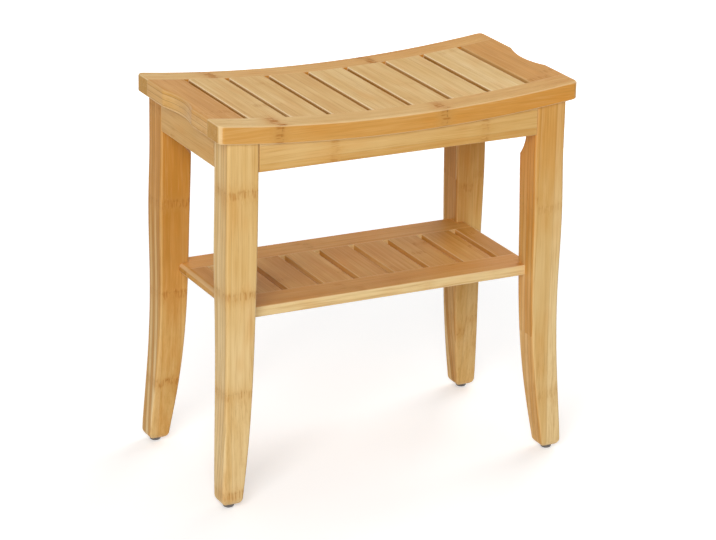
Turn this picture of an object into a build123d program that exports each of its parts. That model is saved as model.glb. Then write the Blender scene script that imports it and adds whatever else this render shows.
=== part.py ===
from build123d import *
import os
from math import sqrt

# A low bath stool in bamboo: a dished slatted seat on four sabre legs, with a
# slatted shelf half way down. Millimetres. +X runs along the seat, +Y to the
# back, +Z up. The origin is on the floor under the middle of the stool.

os.makedirs("parts", exist_ok=True)

# Seat frame
seat_length = 450
seat_depth = 230
seat_end_height = 454
seat_dish = 14
seat_board = 21
seat_rail_width = 32
seat_slats = 7
seat_gap = 5.6
seat_corner_round = 7
seat_edge_round = 2.2
slat_edge_round = 1.6

# Hand scoop in the outer edge of each end board
scoop_width = 80
scoop_depth = 7
scoop_lead_round = 15

# Tongues of the seat slats in the rails
seat_tenon_length = 10
seat_tenon_thick = 8
seat_tenon_shoulder = 5

# Legs: square stock, then curved and tapered on all four faces. Each share is
# a height on the curved part of the leg, from the floor to its straight top.
overhang_end = 12.5
overhang_side = 4.6
leg_thick = 38
leg_straight_below = 19
leg_edge_round = 3
leg_bulge_share = 0.8
leg_bulge_out = 1.2
leg_bulge_in = 1.2
leg_waist_share = 0.547
leg_waist_out = 0.3
leg_waist_in = 3
leg_shin_share = 0.293
leg_shin_out = 2.4
leg_shin_in = 8
leg_ankle_share = 0.101
leg_ankle_out = 6.5
leg_ankle_in = 16.2
leg_sole_out = 7.8
leg_sole_in = 20.8
leg_sole_slant = 0.12
sole_edge_round = 8.5

# Chamfer on the inner corner of each leg. It ends below the apron in a slightly
# round run-out.
corner_chamfer = 14
chamfer_below = 10
chamfer_run_out = 24
chamfer_bulge = 1.5

# Aprons between the legs, under the seat
apron_thick = 18
apron_drop = 60
apron_edge_round = 1.5
apron_dowel_dia = 8
apron_dowel_length = 28
apron_dowel_low = 8
apron_dowel_spacing = 15

# Corner blocks behind the legs
block_thick = 16
block_height = 24
block_gap = 2
block_screw_inset = 13

# Hanger bolt with washer and nut in each corner
bolt_dia = 6
bolt_in_leg = 26
bolt_past_nut = 3
washer_dia = 16
washer_thick = 1.5
nut_across_flats = 10
nut_height = 5

# Wood screws
screw_dia = 4
screw_head_dia = 8
screw_head_height = 2.6
block_screw_length = 25
seat_screw_length = 34
seat_screw_bite = 13
seat_screw_inset = 64.5

# Shelf, set in from the ends and sides of the seat
shelf_end_inset = 35
shelf_side_inset = 23
shelf_top = 230
shelf_board = 12.5
shelf_rail_width = 39
shelf_side_width = 27
shelf_slats = 7
shelf_gap = 7.5
shelf_edge_round = 1.6
shelf_nose_round = 6
shelf_tenon_length = 8
shelf_tenon_thick = 5
shelf_tenon_shoulder = 4
shelf_dowel_dia = 6
shelf_dowel_length = 24

# Glides under the feet
glide_dia = 13
glide_height = 4
glide_round = 2.4
nail_dia = 2.4
nail_length = 18
nail_head_dia = 6
nail_head_thick = 1

# Fits
wood_fit = 0.1
hole_fit = 0.1
hole_end_room = 0.5

# Sizes that follow from the ones above
diagonal = sqrt(2)
half_length = seat_length / 2
half_depth = seat_depth / 2
seat_inner_y = half_depth - seat_rail_width
seat_boards = seat_slats + 2
seat_slat_width = (seat_length - (seat_boards - 1) * seat_gap) / seat_boards
seat_pitch = seat_slat_width + seat_gap
dish_radius = (half_length**2 + seat_dish**2) / (2 * seat_dish)
dish_centre_z = seat_end_height - seat_dish + dish_radius
apron_underside = seat_end_height - apron_drop
leg_straight_z = apron_underside - leg_straight_below
chamfer_full_z = apron_underside - chamfer_below
chamfer_end_z = chamfer_full_z - chamfer_run_out
leg_out_x = half_length - overhang_end
leg_out_y = half_depth - overhang_side
leg_in_x = leg_out_x - leg_thick
leg_in_y = leg_out_y - leg_thick
apron_mid_x = leg_out_x - apron_thick / 2
apron_mid_y = leg_out_y - apron_thick / 2
apron_in_x = leg_out_x - apron_thick
apron_in_y = leg_out_y - apron_thick
seat_screw_x = leg_in_x - seat_screw_inset
shelf_half_length = half_length - shelf_end_inset
shelf_half_depth = half_depth - shelf_side_inset
shelf_under = shelf_top - shelf_board
shelf_mid_z = shelf_top - shelf_board / 2
shelf_inner_y = shelf_half_depth - shelf_rail_width
shelf_inner_x = shelf_half_length - shelf_side_width
shelf_slat_width = (2 * shelf_inner_x - (shelf_slats + 1) * shelf_gap) / shelf_slats
shelf_pitch = shelf_slat_width + shelf_gap
shelf_dowel_y = (leg_in_y + shelf_half_depth) / 2
foot_x = leg_out_x + leg_sole_out - (leg_thick + leg_sole_out - leg_sole_in) / 2
foot_y = leg_out_y + leg_sole_out - (leg_thick + leg_sole_out - leg_sole_in) / 2


def dish_z(x, below):
    """Height of the dished surface that lies a given depth below the seat top."""
    return dish_centre_z - sqrt((dish_radius + below) ** 2 - x**2)


def dished(x0, x1, y0, y1, upper, lower):
    """Curved board between two depths below the dished seat top."""
    xm = (x0 + x1) / 2
    top = ThreePointArc((x0, dish_z(x0, upper)), (xm, dish_z(xm, upper)), (x1, dish_z(x1, upper)))
    low = ThreePointArc((x0, dish_z(x0, lower)), (xm, dish_z(xm, lower)), (x1, dish_z(x1, lower)))
    sides = [Line(top @ 0, low @ 0), Line(top @ 1, low @ 1)]
    face = make_face(Plane.XZ.offset(-y1) * Curve([top, low] + sides))
    return extrude(face, amount=y1 - y0, dir=(0, -1, 0))


def block(x0, x1, y0, y1, z0, z1):
    """Straight board between six faces."""
    middle = ((x0 + x1) / 2, (y0 + y1) / 2, (z0 + z1) / 2)
    return Pos(*middle) * Box(x1 - x0, y1 - y0, z1 - z0)


def rod(start, direction, dia, length):
    """Round bar from a start point along a direction."""
    plane = Plane(origin=start, z_dir=direction)
    return extrude(plane * Circle(dia / 2), amount=length)


def long_edges(body, axis, low, count):
    """Edges along an axis, lowest or highest ones."""
    edges = body.edges().filter_by(axis).sort_by(Axis.Z)
    return edges[:count] if low else edges[-count:]


def under_seat(body):
    """Cut a body to the underside of the seat."""
    above = dished(-seat_length, seat_length, -seat_depth, seat_depth, -3 * seat_board, seat_board)
    return body - above


def quarters(body):
    """The four corner copies of a body made for the back right corner."""
    left = mirror(body, about=Plane.YZ)
    return {
        "back_right": body,
        "back_left": left,
        "front_right": mirror(body, about=Plane.XZ),
        "front_left": mirror(left, about=Plane.XZ),
    }


# Seat boards


def seat_tongue(x0, x1, length, room):
    """Both tongues of a seat board, or the slots for them."""
    y0 = seat_inner_y - (0 if room else 1)
    y1 = seat_inner_y + length
    upper = (seat_board - seat_tenon_thick) / 2 - room
    lower = (seat_board + seat_tenon_thick) / 2 + room
    back = dished(x0 + seat_tenon_shoulder - room, x1 - seat_tenon_shoulder + room, y0, y1, upper, lower)
    return back + mirror(back, about=Plane.XZ)


def seat_slat(index):
    """One slat across the seat, counted from the middle."""
    x0 = index * seat_pitch - seat_slat_width / 2
    x1 = x0 + seat_slat_width
    body = dished(x0, x1, -seat_inner_y, seat_inner_y, 0, seat_board)
    body = fillet(body.edges().filter_by(Axis.Y), slat_edge_round)
    return body + seat_tongue(x0, x1, seat_tenon_length, 0)


def seat_end_board():
    """End board at the right, with the hand scoop in its outer edge."""
    x0 = half_length - seat_slat_width
    scoop_radius = ((scoop_width / 2) ** 2 + scoop_depth**2) / (2 * scoop_depth)
    body = dished(x0, half_length, -seat_inner_y, seat_inner_y, 0, seat_board)
    cutter = Pos(half_length - scoop_depth + scoop_radius, 0, seat_end_height - seat_board)
    body = body - cutter * Cylinder(scoop_radius, 4 * seat_board)
    lead = body.edges().filter_by(Axis.Z).filter_by_position(Axis.Y, -scoop_width, scoop_width)
    lead = [e for e in lead if abs(e.center().Y) < seat_inner_y - 1]
    body = fillet(lead, scoop_lead_round)
    rim = [e for e in body.edges() if outer_rim_edge(e, x0)]
    body = fillet(rim, seat_edge_round)
    inner = [e for e in body.edges().filter_by(Axis.Y) if abs(e.center().X - x0) < 0.01]
    body = fillet(inner, slat_edge_round)
    return body + seat_tongue(x0, half_length, seat_tenon_length, 0)


def outer_rim_edge(edge, x0):
    """True for the top and bottom edges along the outer side of an end board."""
    centre = edge.center()
    upright = edge.bounding_box().size.Z > seat_board / 2
    across = abs(abs(centre.Y) - seat_inner_y) < 0.01
    return centre.X > x0 + seat_slat_width / 2 and not upright and not across


def seat_rail():
    """Back rail of the seat with the slots for all tongues."""
    body = dished(-half_length, half_length, seat_inner_y, half_depth, 0, seat_board)
    corners = body.edges().filter_by(Axis.Z).filter_by_position(Axis.Y, half_depth - 1, half_depth + 1)
    body = fillet(corners, seat_corner_round)
    rim = [e for e in body.edges() if rail_rim_edge(e)]
    body = fillet(rim, seat_edge_round)
    for index in range(-(seat_slats // 2) - 1, seat_slats // 2 + 2):
        x0 = index * seat_pitch - seat_slat_width / 2
        body = body - seat_tongue(x0, x0 + seat_slat_width, seat_tenon_length + hole_end_room, wood_fit)
    return body


def rail_rim_edge(edge):
    """True for the top and bottom edges around the outside of a seat rail."""
    flat = edge.bounding_box().size.Z < seat_board - seat_dish / 2
    return flat and edge.center().Y > seat_inner_y + 0.01


# Legs and aprons


def leg_side():
    """Side view of a leg, its outer face at zero and its inner face behind it."""
    shares = (leg_bulge_share, leg_waist_share, leg_shin_share, leg_ankle_share)
    heights = [share * leg_straight_z for share in shares] + [glide_height]
    outs = (leg_bulge_out, leg_waist_out, leg_shin_out, leg_ankle_out, leg_sole_out)
    inns = (leg_bulge_in, leg_waist_in, leg_shin_in, leg_ankle_in, leg_sole_in)
    outer = [(0, leg_straight_z)] + list(zip(outs, heights))
    inner = [(-leg_thick, leg_straight_z)] + [(s - leg_thick, h) for s, h in zip(inns, heights)]
    outer_curve = Spline(*outer, tangents=((0, -1), (0, -1)), tangent_scalars=(1, 1))
    inner_curve = Spline(*inner, tangents=((0, -1), (leg_sole_slant, -1)), tangent_scalars=(1, 1))
    top = [
        Line((-leg_thick, leg_straight_z), (-leg_thick, seat_end_height)),
        Line((-leg_thick, seat_end_height), (0, seat_end_height)),
        Line((0, seat_end_height), (0, leg_straight_z)),
    ]
    sole = Line(outer_curve @ 1, inner_curve @ 1)
    face = make_face(Curve(top + [outer_curve, inner_curve, sole]))
    low = sorted(face.vertices(), key=lambda v: v.Y)[:2]
    return fillet(low, sole_edge_round)


def leg_blank():
    """Back right leg before its holes are bored."""
    side = leg_side()
    body = extrude(Plane.XZ.offset(-2 * leg_thick) * side, amount=4 * leg_thick, dir=(0, -1, 0))
    body = body & extrude(Plane.YZ.offset(-2 * leg_thick) * side, amount=4 * leg_thick, dir=(1, 0, 0))
    tall = [e for e in body.edges() if e.bounding_box().size.Z > leg_thick]
    body = fillet(tall, leg_edge_round)
    return under_seat(Pos(leg_out_x, leg_out_y, 0) * body - corner_cut())


def corner_cut():
    """Wedge that takes off the inner corner of the back right leg."""
    corner = (leg_in_x + leg_in_y) / diagonal
    deep = corner + corner_chamfer / diagonal
    end, full = (corner, chamfer_end_z), (deep, chamfer_full_z)
    middle = ((corner + deep) / 2 + chamfer_bulge, (chamfer_end_z + chamfer_full_z) / 2)
    rest = Polyline(
        full,
        (deep, seat_end_height),
        (corner - leg_thick, seat_end_height),
        (corner - leg_thick, chamfer_end_z),
        end,
    )
    face = make_face(diagonal_plane() * Curve([ThreePointArc(end, middle, full), rest]))
    return extrude(face, amount=leg_thick, both=True)


def diagonal_plane():
    """Upright plane through the inner and outer corners of the back right leg."""
    aside = (leg_in_x - leg_in_y) / 2
    return Plane(origin=(aside, -aside, 0), x_dir=(1, 1, 0), z_dir=(1, -1, 0))


def diagonal_point(along, z):
    """Point on the diagonal plane of the back right leg."""
    return diagonal_plane().from_local_coords((along, z, 0))


def apron_long():
    """Back apron, curved on top to the underside of the seat."""
    body = block(-leg_in_x, leg_in_x, apron_in_y, leg_out_y, apron_underside, seat_end_height)
    body = fillet(long_edges(body, Axis.X, True, 2), apron_edge_round)
    return under_seat(body)


def apron_short():
    """Right apron, sloped on top to the underside of the seat."""
    body = block(apron_in_x, leg_out_x, -leg_in_y, leg_in_y, apron_underside, seat_end_height)
    body = fillet(long_edges(body, Axis.Y, True, 2), apron_edge_round)
    return under_seat(body)


# Fixings, all made for the back right corner


def dowel(centre, direction, dia, length, room):
    """Dowel across a joint, or the bore for it when room is given."""
    full = length + 2 * (hole_end_room if room else 0)
    start = Vector(*centre) - Vector(*direction) * (full / 2)
    body = rod(start, direction, dia + 2 * room, full)
    if room:
        return body
    rims = body.edges().filter_by(GeomType.CIRCLE)
    return chamfer(rims, dia / 10)


def apron_dowels(room):
    """Dowels from the leg into both of its aprons."""
    shape = None
    for step in range(2):
        z = apron_underside + apron_dowel_low + step * apron_dowel_spacing
        long_way = dowel((leg_in_x, apron_mid_y, z), (1, 0, 0), apron_dowel_dia, apron_dowel_length, room)
        short_way = dowel((apron_mid_x, leg_in_y, z), (0, 1, 0), apron_dowel_dia, apron_dowel_length, room)
        shape = long_way + short_way if shape is None else shape + long_way + short_way
    return shape


def shelf_dowels(room):
    """Dowel from the leg into the end of the shelf rail."""
    centre = (leg_in_x + leg_waist_in, shelf_dowel_y, shelf_mid_z)
    return dowel(centre, (1, 0, 0), shelf_dowel_dia, shelf_dowel_length, room)


def block_front():
    """Distance along the diagonal to the face of the corner block behind the leg."""
    return (leg_in_x + leg_in_y + corner_chamfer) / diagonal - block_gap


def block_middle_z():
    """Height of the middle of the corner block, where the bolt goes through."""
    return apron_underside + apron_edge_round + block_height / 2


def corner_block():
    """Block across the inner corner of the aprons, with its bores."""
    outer = block_front() * diagonal
    inner = outer - block_thick * diagonal
    outline = Polyline(
        (outer - apron_in_y, apron_in_y),
        (apron_in_x, outer - apron_in_x),
        (apron_in_x, inner - apron_in_x),
        (inner - apron_in_y, apron_in_y),
        close=True,
    )
    low = block_middle_z() - block_height / 2
    body = extrude(make_face(Pos(0, 0, low) * outline), amount=block_height, dir=(0, 0, 1))
    body = under_seat(body)
    return body - bolt_bore(hole_fit) - block_screws(hole_fit)


def bolt_start():
    """Distance along the diagonal to the free end of the hanger bolt."""
    return block_front() - block_thick - washer_thick - nut_height - bolt_past_nut


def bolt_length():
    """Whole length of the hanger bolt."""
    buried = block_front() + block_gap + bolt_in_leg
    return buried - bolt_start()


def hanger_bolt():
    """Headless bolt through the corner block into the leg."""
    start = diagonal_point(bolt_start(), block_middle_z())
    body = rod(start, (1, 1, 0), bolt_dia, bolt_length())
    return chamfer(body.edges().filter_by(GeomType.CIRCLE), bolt_dia / 8)


def bolt_bore(room):
    """Bore for the hanger bolt."""
    start = diagonal_point(bolt_start(), block_middle_z())
    return rod(start, (1, 1, 0), bolt_dia + 2 * room, bolt_length() + hole_end_room)


def bolt_washer():
    """Washer between the corner block and the nut."""
    along = block_front() - block_thick - washer_thick
    start = diagonal_point(along, block_middle_z())
    body = rod(start, (1, 1, 0), washer_dia, washer_thick)
    return body - bolt_bore(hole_fit)


def bolt_nut():
    """Hexagon nut on the hanger bolt."""
    along = block_front() - block_thick - washer_thick - nut_height
    start = diagonal_point(along, block_middle_z())
    plane = Plane(origin=start, z_dir=(1, 1, 0))
    body = extrude(plane * RegularPolygon(nut_across_flats / 2, 6, major_radius=False), amount=nut_height)
    return body - bolt_bore(hole_fit)


def wood_screw(tip, direction, length):
    """Countersunk screw with a cross slot, seen from its tip to its head."""
    shank = rod(tip, direction, screw_dia, length)
    tail = Vector(*tip) + Vector(*direction) * length
    plane = Plane(origin=tail, z_dir=direction)
    lower = plane.offset(-screw_head_height) * Circle(screw_dia / 2)
    head = loft([lower, plane * Circle(screw_head_dia / 2)])
    bar = Box(screw_head_dia * 0.55, screw_dia / 5, screw_head_height)
    slot = plane * (bar + Rot(0, 0, 90) * bar)
    return shank + head - slot


def screw_bore(tip, direction, length, behind, room):
    """Pilot hole, countersink and counterbore for a wood screw."""
    pilot = rod(tip, direction, screw_dia + 2 * room, length)
    tail = Vector(*tip) + Vector(*direction) * length
    plane = Plane(origin=tail, z_dir=direction)
    lower = plane.offset(-screw_head_height) * Circle(screw_dia / 2 + room)
    sink = loft([lower, plane * Circle(screw_head_dia / 2 + room)])
    well = rod(tail, direction, screw_head_dia + 2 * room, behind)
    return pilot + sink + well


def block_screw_places():
    """Tips and directions of the two screws from the block into the aprons."""
    inner = (block_front() - block_thick) * diagonal
    near = inner - apron_in_y + block_screw_inset
    far = inner - apron_in_x + block_screw_inset
    z = block_middle_z()
    bite = block_screw_length / 2
    return [
        ((near, apron_in_y + bite, z), (0, -1, 0)),
        ((apron_in_x + bite, far, z), (-1, 0, 0)),
    ]


def block_screws(room):
    """Screws from the block into the aprons, or their bores when room is given."""
    shape = None
    for tip, direction in block_screw_places():
        if room:
            one = screw_bore(tip, direction, block_screw_length, block_thick, room)
        else:
            one = wood_screw(tip, direction, block_screw_length)
        shape = one if shape is None else shape + one
    return shape


def seat_screw_places():
    """Tips of the screws that hold the seat, driven up through the aprons."""
    spots = [(x, s * apron_mid_y) for x in (-seat_screw_x, 0, seat_screw_x) for s in (-1, 1)]
    spots += [(s * apron_mid_x, 0) for s in (-1, 1)]
    return [(x, y, dish_z(x, seat_board) + seat_screw_bite) for x, y in spots]


def seat_screws(room):
    """Screws up into the seat, or their bores when room is given."""
    shape = None
    for tip in seat_screw_places():
        if room:
            one = screw_bore(tip, (0, 0, -1), seat_screw_length, 2 * seat_board, room)
        else:
            one = wood_screw(tip, (0, 0, -1), seat_screw_length)
        shape = one if shape is None else shape + one
    return shape


# Shelf


def shelf_tongue(x0, x1, length, room):
    """Both tongues of a shelf board, or the slots for them."""
    y0 = shelf_inner_y - (0 if room else 1)
    low = shelf_mid_z - shelf_tenon_thick / 2 - room
    high = shelf_mid_z + shelf_tenon_thick / 2 + room
    left = x0 + shelf_tenon_shoulder - room
    right = x1 - shelf_tenon_shoulder + room
    back = block(left, right, y0, shelf_inner_y + length, low, high)
    return back + mirror(back, about=Plane.XZ)


def shelf_slat(index):
    """One slat across the shelf, counted from the middle."""
    x0 = index * shelf_pitch - shelf_slat_width / 2
    x1 = x0 + shelf_slat_width
    body = block(x0, x1, -shelf_inner_y, shelf_inner_y, shelf_under, shelf_top)
    body = fillet(body.edges().filter_by(Axis.Y), shelf_edge_round)
    return body + shelf_tongue(x0, x1, shelf_tenon_length, 0)


def shelf_side():
    """Side board at the right of the shelf with its rounded nose."""
    body = block(shelf_inner_x, shelf_half_length, -shelf_inner_y, shelf_inner_y, shelf_under, shelf_top)
    along = body.edges().filter_by(Axis.Y).sort_by(Axis.X)
    body = fillet(along[-2:], shelf_nose_round)
    along = body.edges().filter_by(Axis.Y).sort_by(Axis.X)
    body = fillet(along[:2], shelf_edge_round)
    reach = shelf_half_length - shelf_nose_round / 2
    return body + shelf_tongue(shelf_inner_x, reach, shelf_tenon_length, 0)


def shelf_rail(legs):
    """Back rail of the shelf, fitted around the two legs."""
    body = block(-shelf_half_length, shelf_half_length, shelf_inner_y, shelf_half_depth, shelf_under, shelf_top)
    body = fillet(body.edges().filter_by(Axis.Y), shelf_nose_round)
    outer = [e for e in body.edges().filter_by(Axis.X) if e.center().Y > shelf_half_depth - 0.1]
    body = fillet(outer, shelf_edge_round)
    for leg in legs:
        body = body - leg
    length = shelf_tenon_length + hole_end_room
    for index in range(-(shelf_slats // 2), shelf_slats // 2 + 1):
        x0 = index * shelf_pitch - shelf_slat_width / 2
        body = body - shelf_tongue(x0, x0 + shelf_slat_width, length, wood_fit)
    reach = shelf_half_length - shelf_nose_round / 2
    side = shelf_tongue(shelf_inner_x, reach, length, wood_fit)
    body = body - side - mirror(side, about=Plane.YZ)
    bore = shelf_dowels(hole_fit)
    return body - bore - mirror(bore, about=Plane.YZ)


# Feet


def nail_bore(room):
    """Hole for the nail of the glide."""
    top = nail_head_thick + glide_round / 2 + nail_length + hole_end_room
    head = rod((foot_x, foot_y, 0), (0, 0, 1), nail_head_dia + 2 * room, nail_head_thick + glide_round / 2)
    return head + rod((foot_x, foot_y, 0), (0, 0, 1), nail_dia + 2 * room, top)


def foot_glide():
    """Round glide under the back right leg."""
    body = rod((foot_x, foot_y, 0), (0, 0, 1), glide_dia, glide_height)
    rim = body.edges().filter_by(GeomType.CIRCLE).sort_by(Axis.Z)
    body = fillet(rim[:1], glide_round)
    return body - nail_bore(hole_fit)


def glide_nail():
    """Nail that holds the glide, its head sunk in the glide."""
    low = glide_round / 2
    head = rod((foot_x, foot_y, low), (0, 0, 1), nail_head_dia, nail_head_thick)
    shank = rod((foot_x, foot_y, low), (0, 0, 1), nail_dia, nail_head_thick + nail_length)
    return head + shank


# Put the pieces together

nodes = {}

seat_back = seat_rail() - seat_screws(hole_fit)
nodes["seat_rail_back"] = seat_back
nodes["seat_rail_front"] = mirror(seat_back, about=Plane.XZ)
end_right = seat_end_board() - seat_screws(hole_fit)
nodes["seat_end_board_right"] = end_right
nodes["seat_end_board_left"] = mirror(end_right, about=Plane.YZ)
for number in range(seat_slats):
    nodes[f"seat_slat_{number + 1}"] = seat_slat(number - seat_slats // 2)

bored = leg_blank()
shelf_back = shelf_rail([bored, mirror(bored, about=Plane.YZ)])
bored = bored - apron_dowels(hole_fit) - shelf_dowels(hole_fit)
bored = bored - bolt_bore(hole_fit) - nail_bore(hole_fit)
for place, body in quarters(bored).items():
    nodes[f"leg_{place}"] = body

dowel_bores = list(quarters(apron_dowels(hole_fit)).values())
screw_bores = list(quarters(block_screws(hole_fit)).values())
long_apron = apron_long() - seat_screws(hole_fit)
short_apron = apron_short() - seat_screws(hole_fit)
for bore in dowel_bores + screw_bores:
    long_apron = long_apron - bore
    short_apron = short_apron - bore
nodes["apron_back"] = long_apron
nodes["apron_front"] = mirror(long_apron, about=Plane.XZ)
nodes["apron_right"] = short_apron
nodes["apron_left"] = mirror(short_apron, about=Plane.YZ)

for place, body in quarters(corner_block()).items():
    nodes[f"corner_block_{place}"] = body

nodes["shelf_rail_back"] = shelf_back
nodes["shelf_rail_front"] = mirror(shelf_back, about=Plane.XZ)
nodes["shelf_side_right"] = shelf_side()
nodes["shelf_side_left"] = mirror(shelf_side(), about=Plane.YZ)
for number in range(shelf_slats):
    nodes[f"shelf_slat_{number + 1}"] = shelf_slat(number - shelf_slats // 2)

for place, body in quarters(foot_glide()).items():
    nodes[f"foot_glide_{place}"] = body

corner_sets = {
    "apron_dowels": apron_dowels(0),
    "shelf_dowels": shelf_dowels(0),
    "hanger_bolts": hanger_bolt(),
    "bolt_washers": bolt_washer(),
    "bolt_nuts": bolt_nut(),
    "corner_block_screws": block_screws(0),
    "glide_nails": glide_nail(),
}
for name, body in corner_sets.items():
    solids = [s for copy in quarters(body).values() for s in copy.solids()]
    nodes[name] = Compound(children=solids)
nodes["seat_screws"] = Compound(children=list(seat_screws(0).solids()))

for name, body in nodes.items():
    export_step(body, f"parts/{name}.step")
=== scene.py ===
import math

import bpy
from mathutils import Matrix, Vector

# A bamboo bath stool on a white studio floor. Metres, with +X along the seat,
# +Y to the back and +Z up from the floor. Patterns, reliefs and the widths of
# worn or sanded edges are in millimetres.

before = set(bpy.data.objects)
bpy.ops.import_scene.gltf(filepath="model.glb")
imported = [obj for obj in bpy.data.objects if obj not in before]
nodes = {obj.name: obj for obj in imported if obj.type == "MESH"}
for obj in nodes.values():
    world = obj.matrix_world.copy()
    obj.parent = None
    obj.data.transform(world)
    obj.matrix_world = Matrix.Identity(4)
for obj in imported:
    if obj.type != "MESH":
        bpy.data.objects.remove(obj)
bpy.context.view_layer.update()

MM_PER_METRE = 1000.0
ALONG_X, ALONG_Y, ALONG_Z = (1, 0, 0), (0, 1, 0), (0, 0, 1)
TO_LEFT = (-1, 0, 0)


def srgb(red, green, blue):
    """Linear colour with alpha from 8-bit display values."""
    def linear(value):
        value /= 255
        return value / 12.92 if value <= 0.04045 else ((value + 0.055) / 1.055) ** 2.4
    return (linear(red), linear(green), linear(blue), 1.0)


class Graph:
    """Adds nodes to a shader tree. A value may be a number or an output socket."""

    def __init__(self, tree):
        self.tree = tree

    def node(self, kind, **settings):
        made = self.tree.nodes.new("ShaderNode" + kind)
        for key, value in settings.items():
            setattr(made, key, value)
        return made

    def put(self, socket, value):
        """Link an output to a socket, or set the socket to a plain value."""
        if isinstance(value, bpy.types.NodeSocket):
            self.tree.links.new(value, socket)
        else:
            socket.default_value = value

    def math(self, operation, *values, clamp=False):
        made = self.node("Math", operation=operation, use_clamp=clamp)
        for socket, value in zip(made.inputs, values):
            self.put(socket, value)
        return made.outputs[0]

    def add(self, *values):
        total = values[0]
        for value in values[1:]:
            total = self.math("ADD", total, value)
        return total

    def times(self, *values):
        total = values[0]
        for value in values[1:]:
            total = self.math("MULTIPLY", total, value)
        return total

    def minus(self, value, taken):
        return self.math("SUBTRACT", value, taken)

    def over(self, value, divisor):
        return self.math("DIVIDE", value, divisor)

    def highest(self, first, second):
        return self.math("MAXIMUM", first, second)

    def up_to_one(self, value):
        return self.math("MINIMUM", value, 1.0)

    def unsigned(self, value):
        """The value without its sign."""
        return self.math("ABSOLUTE", value)

    def rest(self, value):
        """What a value leaves of 1."""
        return self.minus(1.0, value)

    def about(self, value, gain):
        """A 0 to 1 value turned into one about zero, with a gain."""
        return self.times(self.minus(value, 0.5), gain)

    def step(self, value, low, high):
        """Smooth step from 0 at low to 1 at high."""
        made = self.node("MapRange", interpolation_type="SMOOTHSTEP")
        self.put(made.inputs["Value"], value)
        made.inputs["From Min"].default_value = low
        made.inputs["From Max"].default_value = high
        return made.outputs["Result"]

    def bell(self, value, width):
        """1 at zero, falling off to both sides over a width."""
        scaled = self.over(value, width)
        return self.math("EXPONENT", self.times(scaled, scaled, -1.0))

    def vector(self, x, y, z):
        made = self.node("CombineXYZ")
        for socket, value in zip(made.inputs, (x, y, z)):
            self.put(socket, value)
        return made.outputs[0]

    def parts(self, vector):
        made = self.node("SeparateXYZ")
        self.put(made.inputs[0], vector)
        return made.outputs[0], made.outputs[1], made.outputs[2]

    def scaled(self, parts, scales):
        """The three parts of a place, each times a scale of its own."""
        return [self.times(part, scale) for part, scale in zip(parts, scales)]

    def dot(self, vector, direction):
        made = self.node("VectorMath", operation="DOT_PRODUCT")
        self.put(made.inputs[0], vector)
        self.put(made.inputs[1], direction)
        return made.outputs["Value"]

    def noise(self, vector, detail=2.0, rough=0.5, scale=1.0):
        made = self.node("TexNoise")
        self.put(made.inputs["Vector"], vector)
        made.inputs["Scale"].default_value = scale
        made.inputs["Detail"].default_value = detail
        made.inputs["Roughness"].default_value = rough
        return made.outputs["Fac"]

    def mix(self, factor, first, second, blend="MIX"):
        made = self.node("Mix", data_type="RGBA", blend_type=blend)
        self.put(made.inputs[0], factor)
        self.put(made.inputs[6], first)
        self.put(made.inputs[7], second)
        return made.outputs[2]

    def ramp(self, value, *stops):
        made = self.node("ValToRGB")
        ramp = made.color_ramp
        while len(ramp.elements) < len(stops):
            ramp.elements.new(0.5)
        for element, (place, colour) in zip(ramp.elements, stops):
            element.position = place
            element.color = colour
        self.put(made.inputs[0], value)
        return made.outputs["Color"]

    def mix_shaders(self, factor, first, second):
        made = self.node("MixShader")
        for socket, value in zip(made.inputs, (factor, first, second)):
            self.put(socket, value)
        return made.outputs[0]


# Colours of the bamboo, from the palest strip to the darkest
PALE = srgb(236, 206, 150)
STRAW = srgb(226, 190, 128)
HONEY = srgb(216, 173, 104)
AMBER = srgb(203, 150, 78)
TAN = srgb(184, 128, 50)

# A warm cast, pale edges that are a painted highlight with some wear from sanding, glue lines and vessels,
# glue lines in end grain
ORANGE = srgb(214, 146, 60)
EDGE_HIGHLIGHT_AND_WEAR = srgb(247, 223, 178)
TOAST = srgb(146, 92, 38)
DARK = srgb(104, 62, 26)

# Tint that the dashes of a node multiply the colour under them with
DASH_TINT = (0.76, 0.58, 0.4, 1.0)

# How often each pattern changes in a millimetre: along the grain, across the
# wide side of the strips and through their thickness
BROAD = (0.004, 0.1, 0.14)
STREAK = (0.008, 0.34, 0.4)
FINE = (0.03, 1.25, 1.25)
VESSEL = (0.03, 2.2, 2.2)
SWAY = (0.008, 0.03)
EDDY = (0.09, 0.22, 0.22)
CLOUD = (0.013, 0.03, 0.03)
BLUSH = (0.016, 0.045, 0.045)
DASH = (0.05, 0.5, 0.6)
WOBBLE = 0.25
BUNDLE = 1.1

# Sizes of the pattern in millimetres
EDDY_SIZE = 5.0
SWAY_SIZE = 4.0
WOBBLE_SIZE = 5.0
NODE_ARCH = 6.0
NODE_REACH = 10.0
DASH_REACH = 6.0
DASH_PAST_NODE = 1.0
LINE_PAST_NODE = 3.4
LINE_REACH = 0.8
GLUE_LINE = 0.05
GLUE_FADES_WIDE = 0.4
GLUE_FADES_THICK = 0.5
STRIPS_APART = 173.0

# Share of a strip's width by which each layer is set off from the one before it
STAGGER = 0.377

# How strongly each feature changes the tone or the warm cast
CLOUD_TONE = 0.52
BROAD_TONE = 0.5
FLANK_CONTRAST = 1.4
BLUSH_WARM = 0.22

# How strongly each feature colours the bamboo
DARK_FIBRES = 0.46
PALE_FIBRES = 0.24
VESSELS = 0.2
NODE_PATCH = 0.32
NODE_LINE = 0.2
NODE_DASHES = 0.45
GLUE = 0.22
GLUE_ON_FLANK = 0.33
GLUE_AT_END = 0.35
END_DARKER = 0.52

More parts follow.
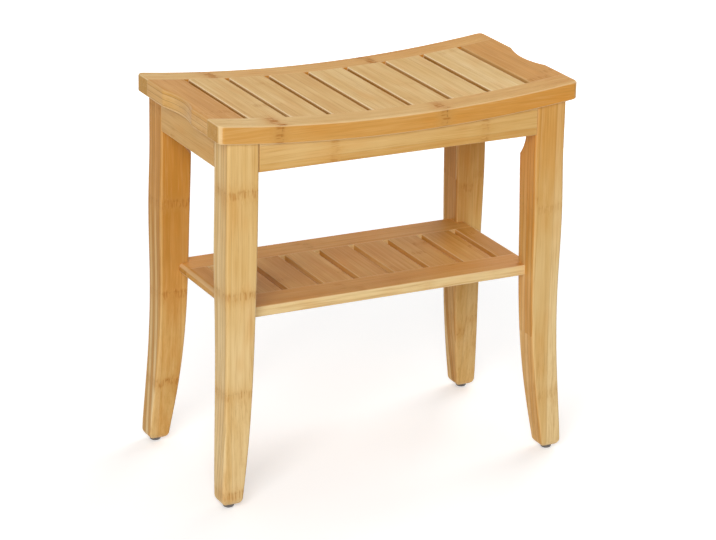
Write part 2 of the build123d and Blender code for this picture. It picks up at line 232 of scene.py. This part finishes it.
# Masks that a material hands to the bamboo, and its settings with their usual
# values. Widths, shifts, pitches and places are in millimetres. Lean makes each
# strip paler than the one before it, and rise changes the tone and the warm cast
# from one place along the grain to another.
MASKS = ("end", "flank", "edge")
SETTINGS = {
    "strip_width": 21.0,
    "strip_thick": 6.6,
    "shift_wide": 0.0,
    "shift_thick": 0.0,
    "seed": 0.0,
    "node_pitch": 230.0,
    "node_at": 0.0,
    "scatter": 1.0,
    "tone": 0.0,
    "contrast": 0.3,
    "lean": 0.0,
    "lean_at": 0.0,
    "warm": 0.0,
    "flank_warm": 0.0,
    "flank_tone": 0.0,
    "rise_from": -1000.0,
    "rise_end": -999.0,
    "rise_tone": 0.0,
    "edge_pale": 0.4,
    "marks": 1.0,
}


def label(key):
    """Name of the socket that takes a mask or a setting."""
    return key.replace("_", " ").capitalize()


class BambooPattern(Graph):
    """Laminated bamboo: strips, fibres, node marks, glue lines and end grain.

    Its place is in millimetres: x along the grain, y across the wide side of the
    strips, z through their thickness. The mask end is 1 where a face shows end
    grain, flank where it shows the narrow sides of the strips, and edge where it
    turns over a rounded edge. A node is a joint of the cane, which leaves a mark
    across its strips.
    """

    def __init__(self):
        super().__init__(bpy.data.node_groups.new("laminated_bamboo", "ShaderNodeTree"))
        self.add_sockets()
        inputs = self.tree.nodes.new("NodeGroupInput").outputs
        self.given = {key: inputs[label(key)] for key in MASKS + tuple(SETTINGS)}
        self.place = self.parts(inputs["Place"])
        self.lay_strips()
        self.find_nodes()
        self.grow_fibres()
        self.mark_nodes()
        colour = self.glued(self.marked(self.grained(self.strip_colour())))
        colour = self.mix(self.given["end"], colour, self.end_grain(colour))
        # The pale edges are a painted highlight, with some wear from sanding in them
        edge_highlight_and_wear = self.times(self.given["edge"], self.given["edge_pale"])
        outputs = self.tree.nodes.new("NodeGroupOutput").inputs
        self.put(outputs["Color"], self.mix(edge_highlight_and_wear, colour, EDGE_HIGHLIGHT_AND_WEAR))
        self.put(outputs["Roughness"], self.roughness())
        self.put(outputs["Height"], self.height())

    def add_sockets(self):
        """Inputs and outputs of the node group."""
        face = self.tree.interface
        face.new_socket("Place", in_out="INPUT", socket_type="NodeSocketVector")
        for key in MASKS + tuple(SETTINGS):
            face.new_socket(label(key), in_out="INPUT", socket_type="NodeSocketFloat")
        face.new_socket("Color", in_out="OUTPUT", socket_type="NodeSocketColor")
        face.new_socket("Roughness", in_out="OUTPUT", socket_type="NodeSocketFloat")
        face.new_socket("Height", in_out="OUTPUT", socket_type="NodeSocketFloat")

    def lay_strips(self):
        """Strips side by side on the wide faces, layers on the narrow ones, both on end grain."""
        given = self.given
        wide, thick = self.place[1:]
        self.narrow = self.math("GREATER_THAN", given["flank"], 0.5)
        grain_end = self.math("GREATER_THAN", given["end"], 0.5)
        layers_show = self.highest(self.narrow, grain_end)
        self.strips_show = self.highest(self.rest(self.narrow), grain_end)

        layer = self.over(self.add(thick, given["shift_thick"]), given["strip_thick"])
        layer_number = self.times(self.math("FLOOR", layer), layers_show)
        self.in_layer = self.math("FRACT", layer)
        stagger = self.times(self.math("FRACT", self.times(layer_number, STAGGER)), grain_end)
        strip = self.over(self.add(wide, given["shift_wide"]), given["strip_width"])
        strip = self.add(strip, stagger)
        self.strip_number = self.times(self.math("FLOOR", strip), self.strips_show)
        self.in_strip = self.math("FRACT", strip)

        chance = self.node("TexWhiteNoise", noise_dimensions="3D")
        self.put(chance.inputs["Vector"], self.vector(self.strip_number, layer_number, given["seed"]))
        self.grain_chance, self.node_chance, self.tone_chance = self.parts(chance.outputs["Color"])

        beside = self.glue_line(self.in_strip, given["strip_width"], GLUE_FADES_WIDE)
        above = self.glue_line(self.in_layer, given["strip_thick"], GLUE_FADES_THICK)
        self.seam = self.highest(self.times(beside, self.strips_show), self.times(above, layers_show))

    def glue_line(self, inside, width, fades):
        """1 on the glue lines beside a strip, from the share of its width that a place is across it."""
        distance = self.times(self.math("MINIMUM", inside, self.rest(inside)), width)
        return self.rest(self.step(distance, GLUE_LINE, fades))

    def find_nodes(self):
        """Distance to the nearest node of this strip, on a slightly arched line."""
        given = self.given
        along, wide, thick = self.place
        off_middle = self.unsigned(self.minus(self.in_strip, 0.5))
        arch = self.times(self.math("POWER", off_middle, 2.0), NODE_ARCH)
        wobble_at = self.vector(given["seed"], self.times(wide, WOBBLE), self.times(thick, WOBBLE))
        wobble = self.about(self.noise(wobble_at, 1.0), WOBBLE_SIZE)
        own = self.times(self.minus(self.node_chance, 0.5), given["scatter"], given["node_pitch"])
        past = self.add(self.minus(along, given["node_at"]), own, arch, wobble)
        turn = self.math("FRACT", self.add(self.over(past, given["node_pitch"]), 0.5))
        self.near = self.times(self.minus(turn, 0.5), given["node_pitch"])

    def grow_fibres(self):
        """Fibres that run along the strip and bend a little at a node, and broader changes."""
        seed = self.given["seed"]
        along, wide, thick = self.place
        offset = self.times(self.grain_chance, STRIPS_APART)
        eddy = self.about(self.noise(self.vector(*self.scaled(self.place, EDDY)), 1.0), EDDY_SIZE)
        bend = self.times(self.bell(self.near, NODE_REACH), eddy, self.given["marks"])
        sway_along, sway_wide = self.scaled((along, wide), SWAY)
        sway_at = self.vector(sway_along, self.add(offset, sway_wide), seed)
        sway = self.about(self.noise(sway_at, 0.0), SWAY_SIZE)

        fibres = (along, self.add(wide, bend, sway, offset), self.add(thick, bend, offset))
        self.broad = self.noise(self.vector(*self.scaled(fibres, BROAD)), 2.0)
        self.streak = self.noise(self.vector(*self.scaled(fibres, STREAK)), 2.0, 0.6)
        self.fine = self.noise(self.vector(*self.scaled(fibres, FINE)), 2.0, 0.6)
        vessel = self.noise(self.vector(*self.scaled(fibres, VESSEL)), 1.0)
        outer_side = self.add(0.3, self.times(self.in_layer, 0.7))
        self.vessel = self.times(self.step(vessel, 0.56, 0.7), outer_side)

        x, y, z = self.scaled(self.place, CLOUD)
        self.cloud = self.noise(self.vector(x, y, self.add(z, seed)), 2.0)
        x, y, z = self.scaled(self.place, BLUSH)
        self.blush = self.noise(self.vector(self.add(seed, x), y, z), 1.0)

    def mark_nodes(self):
        """A patch at each node, short dashes across the fibres and a faint, broken line."""
        marks = self.given["marks"]
        dash = self.noise(self.vector(*self.scaled(self.place, DASH)), 1.0)
        close = self.step(self.bell(self.minus(self.near, DASH_PAST_NODE), DASH_REACH), 0.25, 0.8)
        fainter = self.rest(self.times(self.narrow, 0.5))
        self.dash = self.times(self.step(dash, 0.46, 0.6), close, marks, fainter)
        line = self.bell(self.minus(self.near, LINE_PAST_NODE), LINE_REACH)
        self.line = self.times(line, self.step(self.streak, 0.45, 0.65), marks)
        clouded = self.add(0.4, self.times(self.cloud, 0.9))
        self.patch = self.times(self.bell(self.near, NODE_REACH), clouded, marks)

    def strip_colour(self):
        """Base colour of the strip, which may change along the piece."""
        given = self.given
        along = self.place[0]
        span = self.minus(given["rise_end"], given["rise_from"])
        rise = self.math("DIVIDE", self.minus(along, given["rise_from"]), span, clamp=True)
        more_on_flanks = self.add(1.0, self.times(self.narrow, FLANK_CONTRAST))
        own = self.times(self.minus(self.tone_chance, 0.5), given["contrast"], more_on_flanks)
        lean = self.times(self.minus(self.strip_number, given["lean_at"]), given["lean"], self.strips_show)
        tone = self.add(0.5, own, self.about(self.cloud, CLOUD_TONE), self.about(self.broad, BROAD_TONE),
                        given["tone"], lean, self.times(given["flank"], given["flank_tone"]),
                        self.times(rise, given["rise_tone"]))
        colour = self.ramp(tone, (0.0, TAN), (0.25, AMBER), (0.5, HONEY), (0.75, STRAW), (1.0, PALE))
        warm = self.add(self.times(given["warm"], rise), self.times(given["flank"], given["flank_warm"]),
                        self.times(self.step(self.blush, 0.5, 0.75), BLUSH_WARM))
        return self.mix(self.up_to_one(warm), colour, ORANGE)

    def grained(self, colour):
        """Darker and paler fibres, and the vessels between them."""
        grain = self.add(0.5, self.about(self.streak, 1.3), self.about(self.fine, 0.7))
        colour = self.mix(self.times(self.step(grain, 0.42, 0.95), DARK_FIBRES), colour, TAN)
        colour = self.mix(self.times(self.rest(self.step(grain, 0.0, 0.5)), PALE_FIBRES), colour, PALE)
        return self.mix(self.times(self.vessel, VESSELS), colour, TOAST)

    def marked(self, colour):
        """The marks of the nodes on the grain."""
        colour = self.mix(self.up_to_one(self.times(self.patch, NODE_PATCH)), colour, AMBER)
        colour = self.mix(self.up_to_one(self.times(self.line, NODE_LINE)), colour, TOAST)
        dashes = self.up_to_one(self.times(self.dash, NODE_DASHES))
        return self.mix(dashes, colour, DASH_TINT, "MULTIPLY")

    def glued(self, colour):
        """Glue lines, which show more on the flanks."""
        strength = self.add(GLUE, self.times(self.given["flank"], GLUE_ON_FLANK))
        return self.mix(self.times(self.seam, strength), colour, TOAST)

    def end_grain(self, colour):
        """Fibre bundles seen end on, darker toward one side of the strip."""
        wide, thick = self.place[1:]
        bundles = self.node("TexVoronoi")
        at = self.vector(0.0, self.times(wide, BUNDLE), self.times(thick, BUNDLE))
        self.put(bundles.inputs["Vector"], at)
        bundles.inputs["Scale"].default_value = 1.0
        spots = self.rest(self.step(bundles.outputs["Distance"], 0.12, 0.42))
        spots = self.times(spots, self.add(0.25, self.times(self.in_layer, 0.45)))
        colour = self.mix(spots, self.mix(END_DARKER, colour, TAN), TOAST)
        return self.mix(self.times(self.seam, GLUE_AT_END), colour, DARK)

    def roughness(self):
        """Rougher at marks, glue lines and end grain, smoother on the pale rounded edges, which are partly
        worn by sanding.
        """
        return self.add(0.46, self.about(self.fine, 0.14), self.times(self.dash, 0.1),
                        self.times(self.seam, 0.15), self.times(self.given["end"], 0.15),
                        self.times(self.given["edge"], -0.06))

    def height(self):
        """Relief of the fibres, vessels, glue lines and marks in millimetres."""
        return self.add(self.times(self.streak, 0.035), self.times(self.fine, 0.022),
                        self.times(self.vessel, -0.025), self.times(self.seam, -0.05),
                        self.times(self.dash, -0.04), self.times(self.patch, 0.04))


BAMBOO = BambooPattern().tree


def new_material(name):
    """Empty material with its graph and surface shader."""
    material = bpy.data.materials.new(name)
    material.use_nodes = True
    tree = material.node_tree
    return material, Graph(tree), tree.nodes["Principled BSDF"]


def add_relief(g, surface, height, depth):
    """Fine relief on a surface, from a height that is scaled to a depth in millimetres."""
    bump = g.node("Bump")
    bump.inputs["Distance"].default_value = depth / MM_PER_METRE
    g.put(bump.inputs["Height"], height)
    g.put(surface.inputs["Normal"], bump.outputs[0])


def facing(g, mask, normal, toward, full):
    """A mask kept only where the surface faces one way, or everywhere if no way is given."""
    if toward is None:
        return mask
    return g.times(mask, g.step(g.dot(normal, toward), 0.05, full))


def edge_mask(g, width, low, high, toward=None):
    """1 along the edges of a piece over a width, or only along those that face one way."""
    bevel = g.node("Bevel", samples=6)
    bevel.inputs["Radius"].default_value = width / MM_PER_METRE
    agree = g.dot(bevel.outputs[0], g.node("NewGeometry").outputs["Normal"])
    return facing(g, g.step(g.rest(agree), low, high), bevel.outputs[0], toward, 0.35)


def rounded(g, normal, toward=None):
    """1 where a surface turns from one face of a piece into the next."""
    x, y, z = [g.unsigned(part) for part in g.parts(normal)]
    largest = g.highest(g.highest(x, y), z)
    return facing(g, g.rest(g.step(largest, 0.86, 0.975)), normal, toward, 0.25)


def bamboo(name, directions, edge_width=1.4, toward=None, **settings):
    """Bamboo, given the directions of its grain, of its strips' wide side and of their thickness.

    Its edges are paler over a width: a painted highlight, with some wear from sanding. Given a way, only
    the edges that face that way, toward the light, get the painted highlight.
    """
    material, g, surface = new_material(name)
    coordinate = g.node("TexCoord").outputs
    normal = coordinate["Normal"]
    place = [g.times(g.dot(coordinate["Object"], axis), MM_PER_METRE) for axis in directions]
    end, flank = [g.unsigned(g.dot(normal, axis)) for axis in directions[:2]]
    edge = edge_mask(g, edge_width, 0.015, 0.12, toward)
    square_to_axes = 1 in directions[0]
    if square_to_axes:
        edge = g.highest(edge, rounded(g, normal, toward))

    pattern = g.node("Group", node_tree=BAMBOO)
    g.put(pattern.inputs["Place"], g.vector(*place))
    g.put(pattern.inputs["End"], g.step(end, 0.72, 0.9))
    g.put(pattern.inputs["Flank"], g.step(flank, 0.6, 0.85))
    g.put(pattern.inputs["Edge"], edge)
    for key, value in {**SETTINGS, **settings}.items():
        pattern.inputs[label(key)].default_value = value
    g.put(surface.inputs["Base Color"], pattern.outputs["Color"])
    g.put(surface.inputs["Roughness"], pattern.outputs["Roughness"])
    add_relief(g, surface, pattern.outputs["Height"], 1.0)
    surface.inputs["IOR"].default_value = 1.45
    surface.inputs["Specular IOR Level"].default_value = 0.15
    return material


def steel():
    """Zinc-plated steel with a light grain, faint yellow patches and worn edges."""
    material, g, surface = new_material("zinc_steel")
    place = g.node("TexCoord").outputs["Object"]
    fine = g.noise(place, detail=3.0, rough=0.6, scale=900.0)
    patch = g.noise(place, detail=2.0, rough=0.5, scale=160.0)
    worn = edge_mask(g, 0.4, 0.02, 0.2)
    colour = g.mix(g.step(patch, 0.35, 0.7), srgb(196, 198, 200), srgb(205, 198, 176))
    colour = g.mix(g.times(g.step(fine, 0.45, 0.75), 0.35), colour, srgb(120, 120, 118))
    colour = g.mix(g.times(worn, 0.5), colour, srgb(232, 232, 230))
    g.put(surface.inputs["Base Color"], colour)
    g.put(surface.inputs["Roughness"], g.add(0.3, g.about(fine, 0.2), g.about(patch, 0.12)))
    add_relief(g, surface, fine, 0.04)
    surface.inputs["Metallic"].default_value = 1.0
    return material


def plastic():
    """Grey moulded plastic, finely pitted and scuffed where it meets the floor."""
    material, g, surface = new_material("glide_plastic")
    place = g.node("TexCoord").outputs["Object"]
    fine = g.noise(place, detail=2.0, rough=0.6, scale=1800.0)
    scuff = g.noise(place, detail=3.0, rough=0.6, scale=420.0)
    low = g.rest(g.step(g.parts(place)[2], 0.2 / MM_PER_METRE, 1.4 / MM_PER_METRE))
    worn = g.times(g.step(scuff, 0.42, 0.7), g.add(0.25, g.times(low, 0.75)))
    colour = g.mix(worn, srgb(112, 109, 106), srgb(158, 154, 150))
    g.put(surface.inputs["Base Color"], g.mix(g.times(fine, 0.3), colour, srgb(84, 82, 80)))
    g.put(surface.inputs["Roughness"], g.add(0.36, g.about(fine, 0.15), g.times(worn, 0.25)))
    add_relief(g, surface, fine, 0.05)
    return material


def dress(name, material):
    """Give one piece of the stool its material."""
    slots = nodes[name].data.materials
    slots.clear()
    slots.append(material)


def dress_in_bamboo(name, directions, **settings):
    """Give one piece of the stool bamboo of its own."""
    dress(name, bamboo(f"bamboo_{name}", directions, **settings))


# Directions of the grain, of the strips' wide side and of their thickness
SLAT_LAY = (ALONG_Y, ALONG_X, ALONG_Z)
RAIL_LAY = (ALONG_X, ALONG_Y, ALONG_Z)
APRON_LAY = (ALONG_X, ALONG_Z, ALONG_Y)
SIDE_APRON_LAY = (ALONG_Y, ALONG_Z, ALONG_X)
LEG_LAY = (ALONG_Z, ALONG_X, ALONG_Y)


def dress_seat_slats():
    """Slats of the seat, paler to the right. Each has a painted highlight along its left edge, the side
    facing the light, and painted shade on its sides, the walls of the slots.
    """
    slats = (
        dict(node_at=-60.0, marks=0.9, tone=-0.02),
        dict(node_at=20.0, marks=0.5, tone=0.04),
        dict(node_at=-110.0, marks=0.3, tone=0.04),
        dict(node_at=64.0, marks=0.7, tone=0.1),
        dict(node_at=-20.0, marks=0.4, tone=0.08),
        dict(node_at=90.0, marks=0.6, tone=0.14),
        dict(node_at=40.0, marks=0.5, tone=0.2),
    )
    # The pale left edges are a painted highlight on the side facing the light, and the darker flanks are
    # painted shade down the slot walls
    for index, own in enumerate(slats):
        dress_in_bamboo(
            f"seat_slat_{index + 1}", SLAT_LAY, edge_width=4.5, toward=TO_LEFT,
            seed=3.0 + 1.7 * index, shift_wide=4.0 * index, shift_thick=2.0, node_pitch=260.0, scatter=0.5,
            contrast=0.14, flank_tone=-0.45, edge_pale=0.95, **own)


def dress_seat_frame():
    """End boards of the seat, and its rails, whose front faces show a single layer."""
    end_boards = {
        "left": dict(seed=21.0, node_at=-66.0, tone=-0.36, warm=0.38),
        "right": dict(seed=23.5, node_at=-72.0, tone=-0.32, warm=0.42),
    }
    for side, own in end_boards.items():
        dress_in_bamboo(
            f"seat_end_board_{side}", SLAT_LAY, strip_width=23.0, scatter=0.1, contrast=0.2,
            flank_tone=0.55, edge_pale=0.2, **own)
    rails = {
        "front": dict(seed=31.0, node_at=-151.0, tone=0.07, warm=0.3, rise_from=-100.0, rise_end=200.0),
        "back": dict(seed=33.0, node_at=60.0, tone=0.0, warm=0.45, rise_from=-226.0, rise_end=74.0),
    }
    for side, own in rails.items():
        dress_in_bamboo(
            f"seat_rail_{side}", RAIL_LAY, strip_width=36.0, strip_thick=80.0, shift_thick=-388.0,
            node_pitch=204.5, scatter=0.04, contrast=0.22, rise_tone=-0.1, flank_warm=0.5, marks=3.6, **own)


def dress_aprons():
    """Aprons under the seat. The strips of the front and back ones grow paler upward."""
    long_aprons = {
        "front": dict(seed=41.0, node_at=-77.0, tone=0.13),
        "back": dict(seed=43.0, node_at=40.0, tone=0.05),
    }
    for side, own in long_aprons.items():
        dress_in_bamboo(
            f"apron_{side}", APRON_LAY, shift_wide=-4.0, node_pitch=190.0, scatter=0.25, contrast=0.06,
            lean=0.22, lean_at=18.8, warm=0.1, edge_pale=0.1, **own)
    for side, seed in (("left", 45.0), ("right", 47.0)):
        dress_in_bamboo(
            f"apron_{side}", SIDE_APRON_LAY, seed=seed, shift_wide=-8.0, node_at=15.0, tone=-0.02,
            contrast=0.2, warm=0.2, marks=0.6)


# Legs: front faces show the wide side of the strips, side faces their edges
LEGS = {
    "front_left": dict(
        seed=51.0, strip_width=27.0, shift_wide=208.0, node_pitch=118.0, node_at=371.0, scatter=0.0,
        tone=0.2, contrast=0.24, marks=1.3, rise_from=360.0, rise_end=100.0, rise_tone=0.23,
        flank_tone=0.06),
    "front_right": dict(
        seed=53.0, strip_width=21.0, shift_wide=-180.0, node_pitch=231.0, node_at=305.0, scatter=0.1,
        tone=0.34, contrast=0.3, marks=0.7, warm=0.5, rise_from=270.0, rise_end=390.0, rise_tone=-0.2,
        flank_warm=0.3, flank_tone=-0.24),
    # Darker and more orange toward the top: painted shade under the seat
    "back_left": dict(
        seed=55.0, strip_width=24.0, shift_wide=210.0, node_pitch=112.0, node_at=304.0, scatter=0.0,
        tone=0.15, contrast=0.46, marks=1.5, warm=0.5, rise_from=140.0, rise_end=390.0, rise_tone=-0.69,
        flank_tone=-0.06),
    # Darker and more orange toward the top: painted shade under the seat
    "back_right": dict(
        seed=57.0, strip_width=22.0, shift_wide=-176.0, node_pitch=190.0, node_at=96.0, scatter=0.25,
        tone=0.06, contrast=0.4, warm=0.2, rise_from=180.0, rise_end=360.0, rise_tone=-0.38,
        flank_warm=0.1, flank_tone=-0.02),
}


def dress_legs():
    """The four legs, with edges only a little paler, a faint painted highlight with some wear from sanding.
    The back legs darken toward the top with painted shade under the seat.
    """
    for place, own in LEGS.items():
        dress_in_bamboo(f"leg_{place}", LEG_LAY, edge_pale=0.12, **own)


def dress_shelf():
    """Slats, side boards and rails of the shelf, a little darker than the seat, partly as painted shade
    from the seat above and from towels that lay on the shelf.
    """
    # The slats' darker tone is partly painted shade
    slat_tones = (-0.2, -0.24, -0.18, -0.2, -0.15, -0.18, -0.2)
    for index, tone in enumerate(slat_tones):
        dress_in_bamboo(
            f"shelf_slat_{index + 1}", SLAT_LAY, seed=61.0 + 1.9 * index, strip_thick=6.2,
            shift_wide=7.0 * index, node_at=23.0 * index, tone=tone, contrast=0.2, warm=0.25)
    one_layer = dict(strip_thick=100.0, shift_thick=-150.0)
    # The side boards' darker tone is partly painted shade from towels laid on them
    for side, seed, tone in (("left", 77.0, -0.42), ("right", 79.0, -0.55)):
        dress_in_bamboo(
            f"shelf_side_{side}", SLAT_LAY, seed=seed, node_at=-20.0, tone=tone, contrast=0.2, warm=0.25,
            flank_tone=0.3, **one_layer)
    # On the rails, the orange top is partly painted shade under the seat, and the paler front and back
    # faces are a painted highlight
    for side, seed in (("front", 81.0), ("back", 83.0)):
        dress_in_bamboo(
            f"shelf_rail_{side}", RAIL_LAY, seed=seed, strip_width=19.5, node_at=20.0, tone=-0.12,
            contrast=0.2, warm=0.52, flank_warm=-0.52, flank_tone=0.5, marks=0.7, **one_layer)


def dress_corner_blocks():
    """Corner blocks, with their grain across the corner."""
    half = math.sqrt(0.5)
    blocks = (
        ("back_right", -1, 98.0),
        ("front_left", -1, 98.0),
        ("back_left", 1, 103.0),
        ("front_right", 1, 105.0),
    )
    for place, sign, seed in blocks:
        across, out = (half, sign * half, 0), (half, -sign * half, 0)
        dress_in_bamboo(
            f"corner_block_{place}", (across, ALONG_Z, out), seed=seed, strip_width=24.0, tone=-0.05,
            marks=0.5)


def dress_fixings():
    """Plain dowels, steel fixings and plastic glides."""
    for joint, seed in (("apron", 97.0), ("shelf", 99.0)):
        dress(f"{joint}_dowels", bamboo(
            f"dowel_wood_{joint}", RAIL_LAY, seed=seed, strip_width=400.0, strip_thick=400.0,
            shift_wide=200.0, tone=0.2, marks=0.0))
    metal = steel()
    for name in ("hanger_bolts", "bolt_washers", "bolt_nuts", "corner_block_screws", "seat_screws",
                 "glide_nails"):
        dress(name, metal)
    grey = plastic()
    for place in LEGS:
        dress(f"foot_glide_{place}", grey)


# Studio

# Strength of the light from all around, and of the glow that whitens the floor:
# near the stool, and what is added to it between two distances from the stool
WHITE = (1.0, 1.0, 1.0, 1.0)
SOFT_LIGHT = 0.2
FLOOR_HALF = 12.0
GLOW = 0.36
GLOW_ADDED = 0.6
GLOW_GROWS = (0.5, 2.5)

# Places that the lamps aim at
STOOL_MIDDLE = (0, 0, 0.25)
SEAT_MIDDLE = (0, 0, 0.4)

# The camera, with its pitch down and its roll clockwise
CAMERA_PLACE = (-1.46658, -2.86917, 1.38665)
CAMERA_YAW = math.radians(27.159)
CAMERA_PITCH = math.radians(19.917)
CAMERA_ROLL = math.radians(1.176)
CAMERA_LENS = 147.437


def seen_rays(g):
    """1 for rays that show a surface to the camera: direct, in a gloss or through glass."""
    rays = g.node("LightPath").outputs
    return g.highest(rays["Is Camera Ray"], g.highest(rays["Is Glossy Ray"], rays["Is Transmission Ray"]))


def white_background(g, strength):
    """White surroundings of a strength."""
    background = g.node("Background")
    background.inputs["Color"].default_value = WHITE
    background.inputs["Strength"].default_value = strength
    return background.outputs[0]


def white_world():
    """Even white light, and plain white where it is seen directly or in a gloss."""
    world = bpy.data.worlds.new("studio_world")
    bpy.context.scene.world = world
    world.use_nodes = True
    world.node_tree.nodes.clear()
    g = Graph(world.node_tree)
    both = g.mix_shaders(seen_rays(g), white_background(g, SOFT_LIGHT), white_background(g, 1.0))
    g.put(g.node("OutputWorld").inputs["Surface"], both)


def white_floor():
    """Pale floor that reads as white to the camera and still takes the stool's shadow."""
    low, high = -FLOOR_HALF, FLOOR_HALF
    corners = [(low, low, 0), (high, low, 0), (high, high, 0), (low, high, 0)]
    mesh = bpy.data.meshes.new("studio_floor")
    mesh.from_pydata(corners, [], [(0, 1, 2, 3)])
    floor = bpy.data.objects.new("studio_floor", mesh)
    bpy.context.scene.collection.objects.link(floor)
    material, g, surface = new_material("studio_floor")
    mesh.materials.append(material)
    surface.inputs["Base Color"].default_value = srgb(240, 240, 240)
    surface.inputs["Roughness"].default_value = 0.9
    away = g.node("VectorMath", operation="LENGTH")
    g.put(away.inputs[0], g.node("TexCoord").outputs["Object"])
    added = g.times(g.step(away.outputs["Value"], *GLOW_GROWS), GLOW_ADDED)
    glow = g.node("Emission")
    g.put(glow.inputs["Strength"], g.times(seen_rays(g), g.add(GLOW, added)))
    lit = g.node("AddShader")
    g.put(lit.inputs[0], surface.outputs[0])
    g.put(lit.inputs[1], glow.outputs[0])
    from_below = g.node("NewGeometry").outputs["Backfacing"]
    shown = g.mix_shaders(from_below, lit.outputs[0], g.node("BsdfTransparent").outputs[0])
    g.put(material.node_tree.nodes["Material Output"].inputs["Surface"], shown)


def lamp(name, place, aim, size, power):
    """Large square soft light aimed at a point."""
    data = bpy.data.lights.new(name, "AREA")
    data.shape = "SQUARE"
    data.size = size
    data.energy = power
    light = bpy.data.objects.new(name, data)
    light.location = place
    light.rotation_euler = (Vector(aim) - Vector(place)).to_track_quat("-Z", "Y").to_euler()
    bpy.context.scene.collection.objects.link(light)


def camera():
    """Camera at the front left, a little above, level but for a slight roll."""
    level = math.cos(CAMERA_PITCH)
    ahead = Vector((math.sin(CAMERA_YAW) * level, math.cos(CAMERA_YAW) * level, -math.sin(CAMERA_PITCH)))
    right = Vector((math.cos(CAMERA_YAW), -math.sin(CAMERA_YAW), 0))
    up = right.cross(ahead)
    turned = right * math.cos(CAMERA_ROLL) + up * math.sin(CAMERA_ROLL)
    raised = up * math.cos(CAMERA_ROLL) - right * math.sin(CAMERA_ROLL)
    data = bpy.data.cameras.new("camera")
    data.sensor_fit = "HORIZONTAL"
    data.sensor_width = 36.0
    data.lens = CAMERA_LENS
    data.clip_end = 100.0
    view = bpy.data.objects.new("camera", data)
    facing_ahead = Matrix((turned, raised, -ahead)).transposed().to_4x4()
    view.matrix_world = Matrix.Translation(CAMERA_PLACE) @ facing_ahead
    bpy.context.scene.collection.objects.link(view)
    bpy.context.scene.camera = view


dress_seat_slats()
dress_seat_frame()
dress_aprons()
dress_legs()
dress_shelf()
dress_corner_blocks()
dress_fixings()

white_world()
white_floor()
lamp("key_light", place=(-2.0, -2.66, 2.07), aim=STOOL_MIDDLE, size=2.2, power=100)
lamp("fill_light", place=(2.6, 1.6, 1.9), aim=STOOL_MIDDLE, size=2.2, power=47)
lamp("top_light", place=(0.2, 0.4, 3.2), aim=SEAT_MIDDLE, size=2.0, power=20)
camera()

scene = bpy.context.scene
scene.view_settings.view_transform = "Standard"
